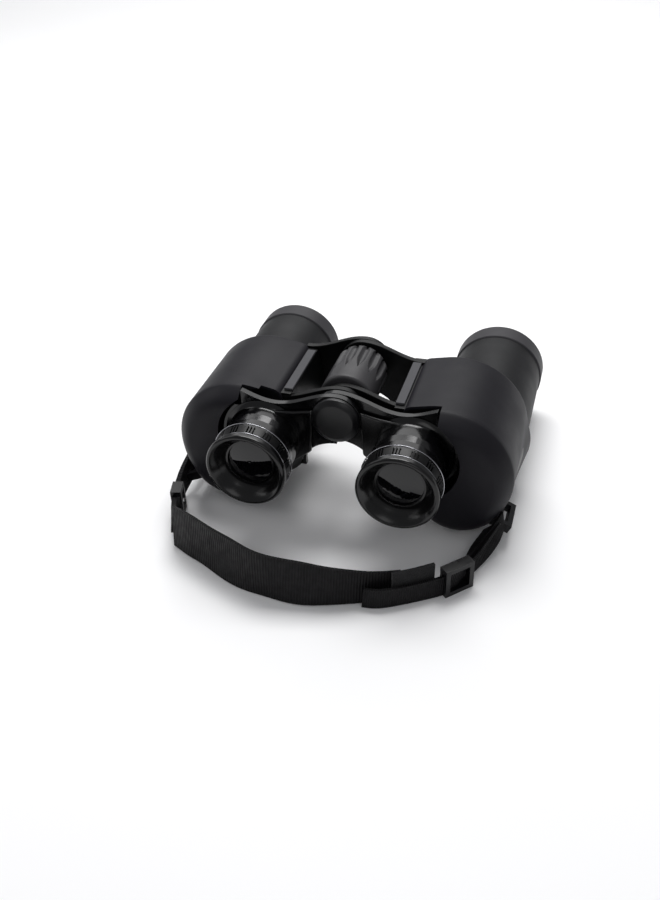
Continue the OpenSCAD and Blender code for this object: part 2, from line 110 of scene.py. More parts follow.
ARCH_TOP, ARCH_R = -14, 19
PLATE_T = 3
PLATE_GAP = 0.3
EAR_X = 46
EAR_BASE = 16
NEAR_PLATE_DROP, FAR_PLATE_RISE = 1.6, 1
SLIDE_R, SLEEVE_R, SLEEVE_END = 13, 15.8, -63
PARTS_R = (BAND_HIGH[0] - BAND_LOW[0]) / 2
CUP_R = (CUP_HIGH[0] - CUP_LOW[0]) / 2
RING_R = (RING_HIGH[0] - RING_LOW[0]) / 2
KNOB_R = (KNOB_HIGH[0] - KNOB_LOW[0]) / 2
CAP_R = (CAP_HIGH[0] - CAP_LOW[0]) / 2


# --- Small geometry helpers -------------------------------------------------

def arc(centre, radius, start, end, steps):
    """Points round a centre from one angle to another, in degrees."""
    points = []
    for i in range(steps + 1):
        a = math.radians(start + (end - start) * i / steps)
        points.append((centre[0] + radius * math.cos(a), centre[1] + radius * math.sin(a)))
    return points


def wave(x):
    """Height of the wavy bridge edge at a distance from the hinge."""
    return WAVE_MID + WAVE_RISE * math.cos(math.pi * x / WAVE_HALF)


def smooth_path(points, steps):
    """A smooth curve through points, as vectors."""
    pts = [Vector(p) for p in points]
    out = []
    for i in range(len(pts) - 1):
        a = pts[max(i - 1, 0)]
        b, c = pts[i], pts[i + 1]
        d = pts[min(i + 2, len(pts) - 1)]
        for k in range(steps):
            t = k / steps
            out.append(0.5 * (2 * b + (c - a) * t + (2 * a - 5 * b + 4 * c - d) * t * t
                              + (3 * b - a - 3 * c + d) * t ** 3))
    out.append(pts[-1])
    return out


def ease(t):
    """A smooth rise from 0 to 1."""
    t = min(max(t, 0), 1)
    return t * t * (3 - 2 * t)


# --- Turning mesh data into objects -----------------------------------------

def mark_sharp(bm, degrees):
    """Shades smooth, with every edge sharper than an angle left crisp."""
    limit = math.radians(degrees)
    for face in bm.faces:
        face.smooth = True
    for edge in bm.edges:
        if len(edge.link_faces) == 2:
            edge.smooth = edge.calc_face_angle(0) < limit


def new_object(bm, name, material):
    """An object made of a mesh as it stands."""
    name = name.replace(" ", "_")
    mesh = bpy.data.meshes.new(name)
    bm.to_mesh(mesh)
    bm.free()
    obj = bpy.data.objects.new(name, mesh)
    bpy.context.scene.collection.objects.link(obj)
    if material:
        mesh.materials.append(material)
    return obj


def to_object(bm, name, material, side=RIGHT, sharp=32):
    """Makes an object from a mesh in millimetres; the left side is mirrored."""
    scale = Matrix.Diagonal((side * MM, MM, MM, 1))
    bmesh.ops.transform(bm, matrix=scale, verts=bm.verts)
    bmesh.ops.recalc_face_normals(bm, faces=bm.faces)
    mark_sharp(bm, sharp)
    return new_object(bm, name, material)


def apply_modifiers(obj):
    """Turns an object's modifiers into plain mesh."""
    view = bpy.context.evaluated_depsgraph_get()
    mesh = bpy.data.meshes.new_from_object(obj.evaluated_get(view))
    obj.modifiers.clear()
    obj.data = mesh
    return obj


def round_edges(obj, width, segments=2, angle=35):
    """Rounds an object's crisp edges, in millimetres."""
    modifier = obj.modifiers.new("round", "BEVEL")
    modifier.width = width * MM
    modifier.segments = segments
    modifier.limit_method = "ANGLE"
    modifier.angle_limit = math.radians(angle)
    modifier.harden_normals = True
    return apply_modifiers(obj)


def cut_away(obj, cutters):
    """Subtracts solids from an object, and removes them."""
    for cutter in cutters:
        modifier = obj.modifiers.new("cut", "BOOLEAN")
        modifier.object = cutter
        modifier.operation = "DIFFERENCE"
        modifier.solver = "EXACT"
        apply_modifiers(obj)
        bpy.data.objects.remove(cutter)
    return obj


def crisp(obj, degrees=32):
    """Shades an object smooth except across its crisp edges."""
    bm = bmesh.new()
    bm.from_mesh(obj.data)
    mark_sharp(bm, degrees)
    bm.to_mesh(obj.data)
    bm.free()
    return obj


def join(name, objects):
    """Joins objects that are all of one piece into one mesh."""
    bm = bmesh.new()
    material = objects[0].data.materials[0]
    for obj in objects:
        bm.from_mesh(obj.data)
        bpy.data.objects.remove(obj)
    return new_object(bm, name, material)


def revolve(name, profile, centre, material, side=RIGHT, segments=128, shape=None, sharp=32):
    """Turns a (radius, y) profile about an axis along Y; shape may change each radius."""
    bm = bmesh.new()
    closed = profile[0][0] > 0 or profile[-1][0] > 0
    rings = []
    for k in range(segments):
        turn = 2 * math.pi * k / segments
        ring = []
        for index, (radius, y) in enumerate(profile):
            r = shape(radius, y, turn, index) if shape else radius
            ring.append(bm.verts.new((centre[0] + r * math.sin(turn), y, centre[1] + r * math.cos(turn))))
        rings.append(ring)
    count = len(profile)
    last = count if closed else count - 1
    for k in range(segments):
        here, there = rings[k], rings[(k + 1) % segments]
        for i in range(last):
            j = (i + 1) % count
            bm.faces.new((here[i], here[j], there[j], there[i]))
    bmesh.ops.remove_doubles(bm, verts=bm.verts, dist=1e-5)
    return to_object(bm, name, material, side, sharp)


def slab(name, outline, y_low, y_high, material, side=RIGHT, bevel=0.35):
    """A plate with an (x, z) outline between two stations along Y."""
    bm = bmesh.new()
    near = [bm.verts.new((x, y_low, z)) for x, z in outline]
    far = [bm.verts.new((x, y_high, z)) for x, z in outline]
    bm.faces.new(near)
    bm.faces.new(list(reversed(far)))
    for i in range(len(outline)):
        j = (i + 1) % len(outline)
        bm.faces.new((near[j], near[i], far[i], far[j]))
    obj = to_object(bm, name, material, side)
    return round_edges(obj, bevel) if bevel else obj


def loft(name, rings, material, side=RIGHT):
    """A closed solid through rings of equally many points."""
    bm = bmesh.new()
    rows = [[bm.verts.new(p) for p in ring] for ring in rings]
    for a, b in zip(rows, rows[1:]):
        for i in range(len(a)):
            j = (i + 1) % len(a)
            bm.faces.new((a[i], a[j], b[j], b[i]))
    bm.faces.new(rows[0])
    bm.faces.new(list(reversed(rows[-1])))
    return to_object(bm, name, material, side)


def place(obj, body, slot, *nodes):
    """Puts a finished piece on its body, in place of the CAD nodes it stands for."""
    if nodes:
        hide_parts(*nodes)
    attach(obj, body)
    return obj


# --- Materials ----------------------------------------------------------------

def srgb(*values):
    """Linear colour from 0-255 screen values."""
    out = []
    for v in values:
        c = v / 255
        out.append(c / 12.92 if c <= 0.04045 else ((c + 0.055) / 1.055) ** 2.4)
    return (*out, 1)


class Finish:
    """Builds one procedural material, step by step."""

    def __init__(self, name, colour, roughness, metallic=0.0, specular=0.5):
        self.material = bpy.data.materials.new(name)
        self.material.use_nodes = True
        self.tree = self.material.node_tree
        self.shader = self.tree.nodes["Principled BSDF"]
        self.colour = colour
        self.shader.inputs["Base Color"].default_value = colour
        self.shader.inputs["Roughness"].default_value = roughness
        self.shader.inputs["Metallic"].default_value = metallic
        self.shader.inputs["Specular IOR Level"].default_value = specular
        self.roughness = roughness
        self.bumps = []

    def node(self, kind, **settings):
        node = self.tree.nodes.new(kind)
        for key, value in settings.items():
            setattr(node, key, value)
        return node

    def link(self, start, end):
        self.tree.links.new(start, end)

    def coordinates(self, source="Object", stretch=(1, 1, 1)):
        mapping = self.node("ShaderNodeMapping")
        mapping.inputs["Scale"].default_value = stretch
        self.link(self.node("ShaderNodeTexCoord").outputs[source], mapping.inputs["Vector"])
        return mapping.outputs["Vector"]

    def noise(self, scale, detail=3, stretch=(1, 1, 1)):
        noise = self.node("ShaderNodeTexNoise")
        noise.inputs["Scale"].default_value = scale
        noise.inputs["Detail"].default_value = detail
        self.link(self.coordinates(stretch=stretch), noise.inputs["Vector"])
        return noise.outputs["Fac"]

    def spread(self, value, low, high):
        """Maps a 0.3-0.7 noise onto a wanted range."""
        ramp = self.node("ShaderNodeMapRange")
        ramp.inputs["From Min"].default_value = 0.3
        ramp.inputs["From Max"].default_value = 0.7
        ramp.inputs["To Min"].default_value = low
        ramp.inputs["To Max"].default_value = high
        self.link(value, ramp.inputs["Value"])
        return ramp.outputs["Result"]

    def vary_colour(self, scale, amount, stretch=(1, 1, 1)):
        """Lightens and darkens the colour gently, in patches."""
        mix = self.node("ShaderNodeMix", data_type="RGBA")
        mix.inputs[6].default_value = tuple(c * (1 - amount) for c in self.colour[:3]) + (1,)
        mix.inputs[7].default_value = tuple(c * (1 + amount) for c in self.colour[:3]) + (1,)
        self.link(self.spread(self.noise(scale, 4, stretch=stretch), 0, 1), mix.inputs["Factor"])
        self.link(mix.outputs[2], self.shader.inputs["Base Color"])
        return self

    def vary_roughness(self, scale, amount, stretch=(1, 1, 1)):
        value = self.spread(self.noise(scale, 5, stretch=stretch),
                            self.roughness - amount, self.roughness + amount)
        self.link(value, self.shader.inputs["Roughness"])
        return self

    def bump(self, height, strength, distance):
        """Adds a bump, in millimetres, on top of those before it."""
        bump = self.node("ShaderNodeBump")
        bump.inputs["Strength"].default_value = strength
        bump.inputs["Distance"].default_value = distance * MM
        self.link(height, bump.inputs["Height"])
        if self.bumps:
            self.link(self.bumps[-1], bump.inputs["Normal"])
        self.bumps.append(bump.outputs["Normal"])
        self.link(bump.outputs["Normal"], self.shader.inputs["Normal"])
        return self

    def grain(self, size, strength, distance=0.1):
        """Even fine texture with grains of a size in millimetres."""
        return self.bump(self.noise(1 / (size * MM), 2), strength, distance)

    def set(self, **values):
        for key, value in values.items():
            self.shader.inputs[key.replace("_", " ")].default_value = value
        return self


def armour_rubber():
    f = Finish("armour rubber", srgb(22, 21, 26), 0.5, specular=0.17)
    return f.vary_colour(35, 0.1).vary_roughness(60, 0.05).grain(0.45, 0.16).material


def sleeve_rubber():
    f = Finish("sleeve rubber", srgb(21, 21, 23), 0.55, specular=0.2)
    return f.vary_colour(50, 0.12).vary_roughness(70, 0.05).grain(0.4, 0.15).material


def ring_rubber():
    """Grey rubber with fine lines turned round the ring."""
    f = Finish("ring rubber", srgb(52, 51, 54), 0.55, specular=0.25)
    f.vary_colour(60, 0.08).vary_roughness(60, 0.05)
    waves = f.node("ShaderNodeTexWave", bands_direction="Y")
    waves.inputs["Scale"].default_value = 260
    waves.inputs["Distortion"].default_value = 0.4
    f.link(f.coordinates(), waves.inputs["Vector"])
    return f.bump(waves.outputs["Fac"], 0.25, 0.15).grain(0.4, 0.12).material


def grip_rubber():
    """Grey strip with a woven-looking surface."""
    f = Finish("grip rubber", srgb(74, 74, 77), 0.7, specular=0.2)
    f.vary_colour(80, 0.1).vary_roughness(80, 0.05)
    cells = f.node("ShaderNodeTexVoronoi")
    cells.inputs["Scale"].default_value = 1400
    f.link(f.coordinates(), cells.inputs["Vector"])
    return f.bump(cells.outputs["Distance"], 0.5, 0.2).material


def knob_rubber():
    f = Finish("knob rubber", srgb(48, 47, 49), 0.45, specular=0.35)
    return f.vary_colour(70, 0.1).vary_roughness(60, 0.06).grain(0.35, 0.2).material


def gloss_black():
    f = Finish("gloss black paint", srgb(6, 6, 7), 0.16, specular=0.42)
    return f.vary_colour(30, 0.2).vary_roughness(45, 0.05).grain(1.5, 0.02).material


def satin_black():
    f = Finish("satin black paint", srgb(8, 8, 9), 0.36, specular=0.2)
    return f.vary_colour(40, 0.2).vary_roughness(60, 0.07).grain(0.3, 0.12).material


def dull_black():
    f = Finish("dull black paint", srgb(5, 5, 5), 0.75, specular=0.1)
    return f.vary_colour(40, 0.2).vary_roughness(60, 0.05).grain(0.3, 0.1).material


def cup_rubber():
    f = Finish("eyecup rubber", srgb(8, 8, 9), 0.2, specular=0.4)
    return f.vary_colour(60, 0.15).vary_roughness(80, 0.06).grain(0.5, 0.06).material


def cap_plastic():
    f = Finish("cap plastic", srgb(13, 13, 15), 0.32, specular=0.35)
    return f.vary_colour(60, 0.06).vary_roughness(90, 0.02).grain(0.3, 0.05).material


def buckle_plastic():
    f = Finish("buckle plastic", srgb(13, 13, 15), 0.34, specular=0.3)
    return f.vary_colour(90, 0.15).vary_roughness(120, 0.08).grain(0.4, 0.12).material


def polished_metal():
    f = Finish("polished metal", srgb(150, 150, 154), 0.15, metallic=1.0)
    return f.vary_colour(90, 0.05).vary_roughness(150, 0.05).grain(0.5, 0.03).material


def machined_alloy():
    f = Finish("machined alloy", srgb(160, 160, 164), 0.35, metallic=1.0)
    return f.vary_colour(70, 0.06).vary_roughness(120, 0.08).grain(0.3, 0.08).material


def spring_steel():
    f = Finish("spring steel", srgb(180, 180, 184), 0.28, metallic=1.0)
    return f.vary_colour(70, 0.06).vary_roughness(120, 0.08, (1, 6, 1)).grain(0.3, 0.06).material


def turned_brass():
    f = Finish("turned brass", srgb(190, 155, 90), 0.3, metallic=1.0)
    return f.vary_colour(70, 0.08).vary_roughness(120, 0.08).grain(0.3, 0.06).material


def coated_lens():
    """Lens glass over the dark inside of the barrel, with a faint coating."""
    f = Finish("coated lens", srgb(3, 3, 5), 0.03, specular=0.5)
    return f.vary_colour(40, 0.2).grain(3, 0.01).material


def optical_glass():
    f = Finish("optical glass", srgb(210, 222, 226), 0.04)
    f.set(Transmission_Weight=0.85, IOR=1.52)
    return f.vary_colour(40, 0.04).grain(4, 0.01).material


def webbing(name, rib, colour):
    """Woven webbing: ribs across its length, in a weave's fine crossing threads; the colour is painted
    darker in the rib grooves and lighter on the crests, as painted shade and highlight.
    """
    f = Finish(name, colour, 0.6, specular=0.2)
    ribs = f.node("ShaderNodeTexWave", bands_direction="X", wave_profile="SIN")
    ribs.inputs["Scale"].default_value = math.pi / 10 / rib
    ribs.inputs["Distortion"].default_value = 0.6
    ribs.inputs["Detail Scale"].default_value = 0.4
    f.link(f.coordinates("UV"), ribs.inputs["Vector"])
    # Painted shade and highlight: the colour runs from 0.35 times the base in the rib grooves to 1.7 times
    # on the crests, broken up by fine noise.
    mix = f.node("ShaderNodeMix", data_type="RGBA")
    mix.inputs[6].default_value = tuple(c * 0.35 for c in colour[:3]) + (1,)
    mix.inputs[7].default_value = tuple(c * 1.7 for c in colour[:3]) + (1,)
    painted_rib_shade = f.node("ShaderNodeMath", operation="MULTIPLY")
    f.link(ribs.outputs["Fac"], painted_rib_shade.inputs[0])
    f.link(f.spread(f.noise(900, 3), 0.45, 1.0), painted_rib_shade.inputs[1])
    f.link(painted_rib_shade.outputs[0], mix.inputs["Factor"])
    f.link(mix.outputs[2], f.shader.inputs["Base Color"])
    f.vary_roughness(300, 0.1)
    f.bump(ribs.outputs["Fac"], 0.9, 0.35)
    return f.bump(f.noise(2600, 2, stretch=(1, 1, 2)), 0.5, 0.15).material


def loop_pile():
    f = Finish("loop pile", srgb(24, 24, 25), 0.85, specular=0.1)
    f.set(Sheen_Weight=0.12, Sheen_Roughness=0.6)
    return f.vary_colour(300, 0.3).vary_roughness(200, 0.05).grain(0.35, 0.8, 0.4).material


def paper_floor():
    f = Finish("paper floor", (0.93, 0.928, 0.932, 1), 0.7, specular=0.2)
    return f.vary_colour(3, 0.006).material


MATERIALS = {
    "armour": armour_rubber(), "casting": satin_black(), "grip": grip_rubber(),
    "tube_inside": dull_black(), "sleeve": sleeve_rubber(), "ring": ring_rubber(),
    "coated_glass": coated_lens(), "clear_glass": optical_glass(), "bare_alloy": machined_alloy(),
    "spring_steel": spring_steel(), "moulded_black": satin_black(), "gloss_black": gloss_black(),
    "cup": cup_rubber(), "chrome": polished_metal(), "knob": knob_rubber(), "cap": cap_plastic(),
    "brass": turned_brass(), "webbing": webbing("wide webbing", 1.3, srgb(15, 14, 16)),
    "narrow_webbing": webbing("narrow webbing", 1.0, srgb(17, 16, 18)),
    "patch": loop_pile(), "buckle": buckle_plastic(),
}
MATERIALS["prism_glass"] = MATERIALS["clear_glass"]


def dress_frame():
    """Gives every carried-over CAD node the finish of its slot."""
    slots = {s["node"]: s["material_slot"] for s in frame["record"]["subparts"]}
    for name, obj in frame["nodes"].items():
        obj.data.materials.clear()
        obj.data.materials.append(MATERIALS[slots[name]])


# --- Housing -------------------------------------------------------------------

def leaving(a, b):
    """The angle at which an outline leaves one rounding for the next."""
    (ax, az), ar = a
    (bx, bz), br = b
    gap = math.hypot(bx - ax, bz - az)
    return math.degrees(math.atan2(bz - az, bx - ax) + math.acos((ar - br) / gap))


def rounded_outline(circles, counts, straight=4):
    """An outline drawn clockwise round a ring of circles, with set point counts."""
    points = []
    n = len(circles)
    for i, (centre, radius) in enumerate(circles):
        start = leaving(circles[i - 1], circles[i])
        end = leaving(circles[i], circles[(i + 1) % n])
        if start < end:
            end -= 360
        bend = arc(centre, radius, start, end, counts[i])
        if points:
            last = points[-1]
            for k in range(1, straight):
                t = k / straight
                points.append((last[0] + (bend[0][0] - last[0]) * t,
                               last[1] + (bend[0][1] - last[1]) * t))
        points += bend
    return points


def housing_ring(y, slim, inset):
    """One cross-section of the housing: its four roundings, inset evenly; slim is 1 at the shoulder."""
    belly = ((BELLY_X - 3 * slim, BELLY_Z), BELLY_R - 2.5 * slim)
    circles = [CORNER, CROWN, belly, INSIDE]
    circles = [(c, max(r - inset, 0.15)) for c, r in circles]
    outline = rounded_outline(circles, (8, 30, 44, 12))
    return [(x, y, z) for x, z in outline]


def housing_solid(name, grow, material, side):
    """The housing's form; grow is negative for the hollow under the rubber."""
    back, front = HOUSING_BACK + grow, HOUSING_FRONT - grow
    depth = HOUSING_BACK - SHOULDER_Y
    rings = []
    for t, inset in ((0, 1.1), (0.3, 0.45), (0.8, 0.08), (1.4, 0)):
        rings.append(housing_ring(back - t, 0, inset - grow))
    for t in (0.25, 0.5, 0.75, 0.95, 1):
        rings.append(housing_ring(HOUSING_BACK - depth * t, t, -grow))
    for t, inset in ((0.08, 0.2), (0.2, 0.75), (0.35, 1.55), (0.5, 2.4), (0.65, 3.4), (0.78, 4.5),
                     (0.88, 5.6), (0.95, 6.8), (1, 8.4)):
        y = SHOULDER_Y + (front - SHOULDER_Y) * t
        rings.append(housing_ring(y, 1, inset - grow))
    return loft(name, rings, material, side)


def pocket_cutters(side):
    """The pocket behind the eyepiece, the notch above it and the objective's hole."""
    front = HOUSING_FRONT - 5
    round_pocket = arc((EYE_X, EYE_Z), POCKET_R, 0, 357, 119)
    inner, outer, above = EYE_X - EAR_BASE, EAR_X + 1, 30
    ear_notch = [(inner, EYE_Z), (outer, EYE_Z), (outer, above), (inner, above)]
    objective_hole = arc((OBJECTIVE_X, OBJECTIVE_Z), OBJECTIVE_HOLE_R, 0, 357, 119)
    pocket = slab("pocket", round_pocket, front, POCKET_Y, None, side, 0)
    notch = slab("notch", ear_notch, front, NOTCH_Y[side], None, side, 0)
    hole = slab("hole", objective_hole, HOUSING_BACK - 3, HOUSING_BACK + 3, None, side, 0)
    return [pocket, notch, hole]


def armour(name, side):
    material = MATERIALS["armour"]
    skin = housing_solid(name + " armour skin", 0, material, side)
    hollow = housing_solid("hollow", -RUBBER, None, side)
    cut_away(skin, [hollow] + pocket_cutters(side))
    skin.data.materials.clear()
    skin.data.materials.append(material)
    place(crisp(skin), name + "_barrel", "armour", name + "_armour")


# --- Hinge ---------------------------------------------------------------------

def plate_outline(reach, lower, floor=-36):
    """A hinge plate: a wavy top, a round knuckle and an arched underside."""
    top = [(reach * i / 48, wave(reach * i / 48) - lower) for i in range(49)]
    centre = (0, ARCH_TOP - ARCH_R)
    knuckle_r = KNUCKLE_R - lower
    knuckle = arc((0, 0), knuckle_r, 270, 90, 32)
    side_x = math.sqrt(ARCH_R ** 2 - (floor - centre[1]) ** 2)
    start = math.degrees(math.atan2(floor - centre[1], side_x))
    underside = arc(centre, ARCH_R, start, 90, 18)
    return knuckle[:-1] + top + [(reach, floor)] + underside


def hinge_frame(name, side):
    """Two wavy plates and the rail that joins them along the housing."""
    material = MATERIALS["casting"]
    shift = 0 if side == LEFT else PLATE_T + PLATE_GAP
    reach = STRIP_LOW[0] + 6
    near, far = FRAME_LOW[1], FRAME_HIGH[1] - PLATE_T
    rail_top = STRIP_HIGH[2] - 1.2
    near_outline = plate_outline(reach, NEAR_PLATE_DROP)
    far_outline = plate_outline(reach, -FAR_PLATE_RISE)
    pieces = [
        slab("near plate", near_outline, near + shift, near + shift + PLATE_T, material, side),
        slab("far plate", far_outline, far - shift, far - shift + PLATE_T, material, side),
        slab("rail", [(STRIP_LOW[0], rail_top), (reach, rail_top), (reach, -22),
                      (STRIP_LOW[0] - 3, -22), (STRIP_LOW[0] - 3, -10)],
             near + 0.2, far + PLATE_T - 0.2, material, side),
    ]
    place(join(name + " hinge plates", pieces), name + "_barrel", "casting", name + "_hinge_frame")


def grip_strip(name, side):
    low, high = STRIP_LOW, STRIP_HIGH
    outline = [(low[0], low[2]), (high[0], low[2]), (high[0], high[2]), (low[0], high[2])]
    strip = slab(name + " grip strip face", outline, low[1], high[1], MATERIALS["grip"], side, 0.3)
    place(strip, name + "_barrel", "grip", name + "_grip_strip")


def groove_depth(turn, along, count=14):
    """How deep the knob's long teardrop grooves are at a point, from 0 to 1."""
    phase = (turn * count / (2 * math.pi)) % 1 - 0.5
    width = 0.36 * ease((along - 0.3) / 0.3) * ease((1.03 - along) / 0.2)
    if width <= 0.01:
        return 0
    return max(0, 1 - (phase / width) ** 2)


def focus_knob():
    low, high = KNOB_LOW[1], KNOB_HIGH[1]
    length = high - low
    dome = 5
    edge = 1.6
    profile = [(4.6, low)] + arc((KNOB_R - edge, low + edge), edge, -90, 0, 6)
    steps = 40
    for i in range(1, steps + 1):
        t = i / steps
        y = low + edge + (length - edge - dome) * t
        profile.append((KNOB_R, y))
    profile += arc((KNOB_R - dome, high - dome), dome, 6, 90, 12)
    profile.append((4.6, high))

    def grooved(radius, y, turn, index):
        along = (y - low) / length
        return radius - 1.5 * groove_depth(turn, along) if radius > 5 else radius

    knob = revolve("grooved focus knob", profile, (0, 0), MATERIALS["knob"], segments=280,
                   shape=grooved, sharp=50)
    place(knob, "focus_knob", "knob", "focus_knob")


def bridge_cap():
    low, high = CAP_LOW[1], CAP_HIGH[1]
    face_r = 0.77 * CAP_R
    profile = [(0, high), (CAP_R - 0.5, high), (CAP_R, high - 0.5)]
    profile += arc((CAP_R - 0.8, low + 1.9), 0.8, 0, -40, 4)
    profile += [(face_r + 0.3, low + 0.3), (face_r, low + 0.15), (face_r - 0.4, low + 0.1), (0, low + 0.1)]
    cap = revolve("hinge cap", profile, (0, 0), MATERIALS["cap"], sharp=40)
    place(cap, "left_ocular", "cap", "bridge_cap")


# --- Eyepiece bridge -------------------------------------------------------------

def arm_plate_outline():
    """The sliding bridge's plate: a wavy edge that ends in an ear above the eyepiece."""
    reach = EAR_X
    top = [(reach * i / 48, wave(reach * i / 48)) for i in range(49)]
    bell_r = POCKET_R - 1.5
    ear_z = EYE_Z + EAR_BASE
    join_x = EYE_X + math.sqrt(bell_r ** 2 - EAR_BASE ** 2)
    start = math.degrees(math.atan2(EAR_BASE, join_x - EYE_X))
    low_z = -28
    end = math.degrees(math.atan2(low_z - EYE_Z, -math.sqrt(bell_r ** 2 - (low_z - EYE_Z) ** 2)))
    bell = arc((EYE_X, EYE_Z), bell_r, start, end, 40)
    centre = (0, ARCH_TOP - ARCH_R)
    side_x = math.sqrt(ARCH_R ** 2 - (low_z - centre[1]) ** 2)
    begin = math.degrees(math.atan2(low_z - centre[1], side_x))
    underside = arc(centre, ARCH_R, begin, 90, 14)
    knuckle = arc((0, 0), KNUCKLE_R, 270, 90, 32)
    return knuckle[:-1] + top + [(reach, ear_z)] + bell + underside


def bell_profile(back, front, neck_r):
    """The round casting that narrows from the plate to the eyepiece's neck."""
    wide = POCKET_R - 2.2
    profile = [(SLEEVE_R, back), (wide - 2.5, back)]
    steps = 12
    for i in range(steps + 1):
        t = i / steps
        radius = neck_r + 0.1 + (wide - neck_r - 1) * (1 - t) ** 12
        profile.append((radius, back - 0.4 + (front - back + 0.4) * t))
    return profile + [(SLIDE_R, front), (SLIDE_R, SLEEVE_END), (SLEEVE_R, SLEEVE_END)]


def bridge_arm(name, side):
    low, high = (LEFT_ARM_LOW, LEFT_ARM_HIGH) if side == LEFT else (RIGHT_ARM_LOW, RIGHT_ARM_HIGH)
    material = MATERIALS["gloss_black"]
    back = high[1]
    neck_r = 16.9
    front = low[1]
    web = [(10.5, 4), (20, 2), (30, 1), (34, -2), (34, -32), (22, -27), (12, -19)]
    pieces = [
        slab("plate", arm_plate_outline(), back - PLATE_T, back, material, side, 0.4),
        slab("web", web, back - PLATE_T - 2.5, back - PLATE_T, material, side, 1.0),
        revolve("bell", bell_profile(back - PLATE_T, front, neck_r), (EYE_X, EYE_Z), material, side),
    ]
    place(join(name + " eyepiece bridge", pieces), name + "_ocular", "gloss_black", name + "_bridge_arm")


# --- Eyepieces -------------------------------------------------------------------

def barred(turn):
    """Whether the ring's edge is raised at a turn: flat blocks between groups of bars."""
    groups = 14
    block = 0.56
    phase = (turn * groups / (2 * math.pi)) % 1
    if phase < block:
        return 1
    bar = (phase - block) / (1 - block)
    return 1 if (bar * 2.5) % 1 > 0.5 else 0


def barred_ring(name, node, body, side):
    back, front = BAND_HIGH[1], BAND_LOW[1]
    high, low = PARTS_R - 0.7, PARTS_R - 1.7
    gap_depth = 1.1
    profile = [(15.4, back), (low, back), (low, back - 0.35), (high, back - 0.45),
               (high - 0.75, front + 0.45), (low - 0.5, front + 0.35), (low - 0.5, front), (15.4, front)]

    def bars(radius, y, turn, index):
        return radius - gap_depth if index in (3, 4) and not barred(turn) else radius

    ring = revolve(name + " barred ring", profile, (EYE_X, EYE_Z), MATERIALS["moulded_black"], side,
                   segments=560, shape=bars, sharp=25)
    place(ring, body, "moulded_black", node)


def trim_rings(name, side):
    """Two thin bright wires, behind and in front of the barred ring."""
    rings = []
    for radius, y in ((PARTS_R - 0.5, BAND_HIGH[1] + 0.35), (PARTS_R - 1.6, BAND_LOW[1] - 0.1)):
        section = arc((radius, y), 0.3, 0, 324, 9)
        rings.append(revolve("wire", section, (EYE_X, EYE_Z), MATERIALS["chrome"], side, 160, sharp=60))
    place(join(name + " bright trim rings", rings), name + "_ocular", "chrome", name + "_trim_rings")


def eyecup(name, body, side):
    """A rounded rim, a groove inside it and a funnel down to the lens."""
    face, back = CUP_LOW[1], CUP_HIGH[1]
    rear_edge = BAND_LOW[1] - 1.5
    rim = 1.3
    lens_y = face + 8.2
    profile = [(11.5, back), (15.05, back), (15.05, rear_edge), (CUP_R - 0.5, rear_edge),
               (CUP_R, rear_edge - 0.6)]
    profile += arc((CUP_R - rim, face + rim), rim, 0, -110, 12)
    profile += [(16.4, face + 0.7), (15.2, face + 2), (14.4, face + 3.4), (13.4, face + 4.8),
                (12.4, face + 6), (11.75, lens_y - 0.9), (11.75, lens_y)]
    cup = revolve(name + " rubber eyecup", profile, (EYE_X, EYE_Z), MATERIALS["cup"], side, 160)
    place(cup, body, "cup", name + "_eyecup")


def objective_ring(name, side):
    back, face = RING_LOW[1], RING_HIGH[1]
    inner = 20.5
    profile = [(inner + 1.6, back), (RING_R - 0.5, back), (RING_R, back + 0.5), (RING_R, face - 1.6)]
    profile += arc((RING_R - 1.4, face - 1.4), 1.4, 0, 90, 6)
    profile += [(inner + 0.6, face), (inner, face - 0.6), (inner, face - 2), (inner + 1.6, face - 2)]
    ring = revolve(name + " objective end ring", profile, (OBJECTIVE_X, OBJECTIVE_Z), MATERIALS["ring"],
                   side, 160)
    place(ring, name + "_barrel", "ring", name + "_objective_ring")


# --- Strap ------------------------------------------------------------------------

